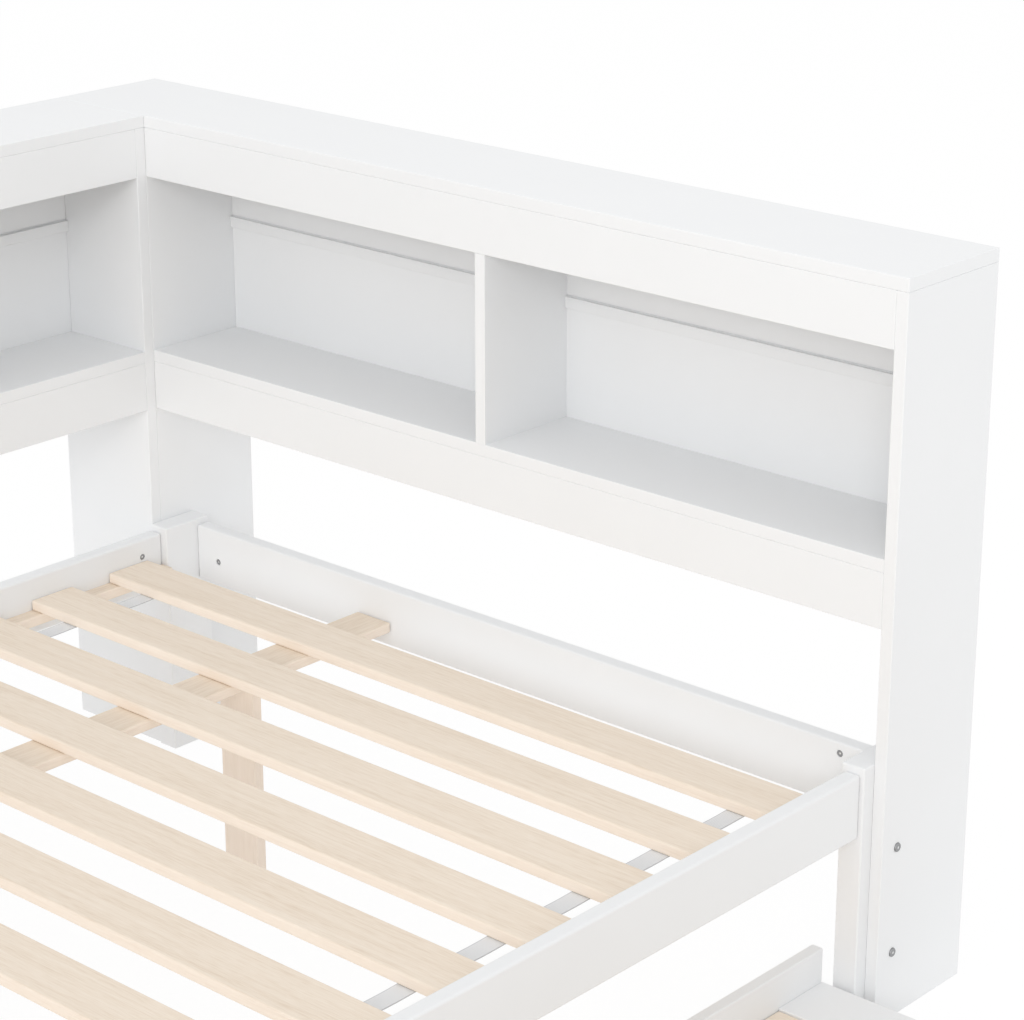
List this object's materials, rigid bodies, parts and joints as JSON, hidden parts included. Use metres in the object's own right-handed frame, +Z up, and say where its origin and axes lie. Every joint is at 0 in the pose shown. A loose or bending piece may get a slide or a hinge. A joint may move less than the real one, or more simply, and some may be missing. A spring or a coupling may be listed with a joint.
{
  "type": "bookcase headboard bed",
  "caption": "Full-size slatted bed with an L-shaped bookcase headboard along the head and one side, and a low roll-out trundle on casters.",
  "frame": {"origin": "on the floor, in the middle of the whole footprint with the trundle drawn out as stored", "axes": "+Z up, +Y towards the head bookcase, +X towards the open side where the trundle rolls out"},
  "size_m": [2.506, 2.227, 1.073],
  "materials": {
    "white_board": "smooth white satin lacquer",
    "bare_wood": "planed bare pine, matte",
    "dowel_wood": "plain beech",
    "zinc_steel": "zinc plated, satin",
    "wheel_plastic": "moulded dark plastic",
    "webbing": "woven flat tape"
  },
  "bodies": {
    "bed": {"head_top": "white_board", "head_left_panel": "white_board", "head_right_panel": "white_board", "head_fascia": "white_board", "head_shelf": "white_board", "head_apron": "white_board", "head_back_panel": "white_board", "back_rails": "white_board", "back_strips": "white_board", "head_divider": "white_board", "side_top": "white_board", "side_head_panel": "white_board", "side_foot_panel": "white_board", "side_fascia": "white_board", "side_shelf": "white_board", "side_apron": "white_board", "side_back_panel": "white_board", "side_dividers": "white_board", "dowel_pins": "dowel_wood", "cam_fittings": "zinc_steel", "post_head_left": "white_board", "post_head_right": "white_board", "post_foot_left": "white_board", "post_foot_right": "white_board", "rail_head": "white_board", "rail_foot": "white_board", "rail_left": "white_board", "rail_right": "white_board", "frame_bolts": "zinc_steel", "barrel_nuts": "zinc_steel", "slat_ledgers": "bare_wood", "frame_screws": "zinc_steel", "slat_01": "bare_wood", "slat_02": "bare_wood", "slat_03": "bare_wood", "slat_04": "bare_wood", "slat_05": "bare_wood", "slat_06": "bare_wood", "slat_07": "bare_wood", "slat_08": "bare_wood", "slat_09": "bare_wood", "slat_10": "bare_wood", "slat_11": "bare_wood", "slat_12": "bare_wood", "slat_straps": "webbing", "centre_beam": "bare_wood", "centre_legs": "bare_wood"},
    "trundle": {"trundle_rail_inner": "white_board", "trundle_rail_outer": "white_board", "trundle_end_boards": "white_board", "trundle_ledgers": "bare_wood", "trundle_slats": "bare_wood", "trundle_screws": "zinc_steel", "trundle_pins": "dowel_wood", "caster_brackets": "zinc_steel", "caster_axles": "zinc_steel"},
    "wheel_1": {"caster_wheel_1": "wheel_plastic"},
    "wheel_2": {"caster_wheel_2": "wheel_plastic"},
    "wheel_3": {"caster_wheel_3": "wheel_plastic"},
    "wheel_4": {"caster_wheel_4": "wheel_plastic"}
  },
  "joints": [
    {"name": "trundle_slide", "type": "slide", "parent": "bed", "child": "trundle", "axis": [1, 0, 0], "range_m": [-0.8725, 0]},
    {"name": "caster_spin_1", "type": "hinge", "parent": "trundle", "child": "wheel_1", "pos_m": [0.412, 0.8185, 0.018], "axis": [0, 1, 0], "continuous": true},
    {"name": "caster_spin_2", "type": "hinge", "parent": "trundle", "child": "wheel_2", "pos_m": [1.164, 0.8185, 0.018], "axis": [0, 1, 0], "continuous": true},
    {"name": "caster_spin_3", "type": "hinge", "parent": "trundle", "child": "wheel_3", "pos_m": [0.412, -0.9565, 0.018], "axis": [0, 1, 0], "continuous": true},
    {"name": "caster_spin_4", "type": "hinge", "parent": "trundle", "child": "wheel_4", "pos_m": [1.164, -0.9565, 0.018], "axis": [0, 1, 0], "continuous": true}
  ],
  "couplings": [
    {"joint": "caster_spin_1", "follows": "trundle_slide", "rad_per_m": 55.556},
    {"joint": "caster_spin_2", "follows": "trundle_slide", "rad_per_m": 55.556},
    {"joint": "caster_spin_3", "follows": "trundle_slide", "rad_per_m": 55.556},
    {"joint": "caster_spin_4", "follows": "trundle_slide", "rad_per_m": 55.556}
  ]
}
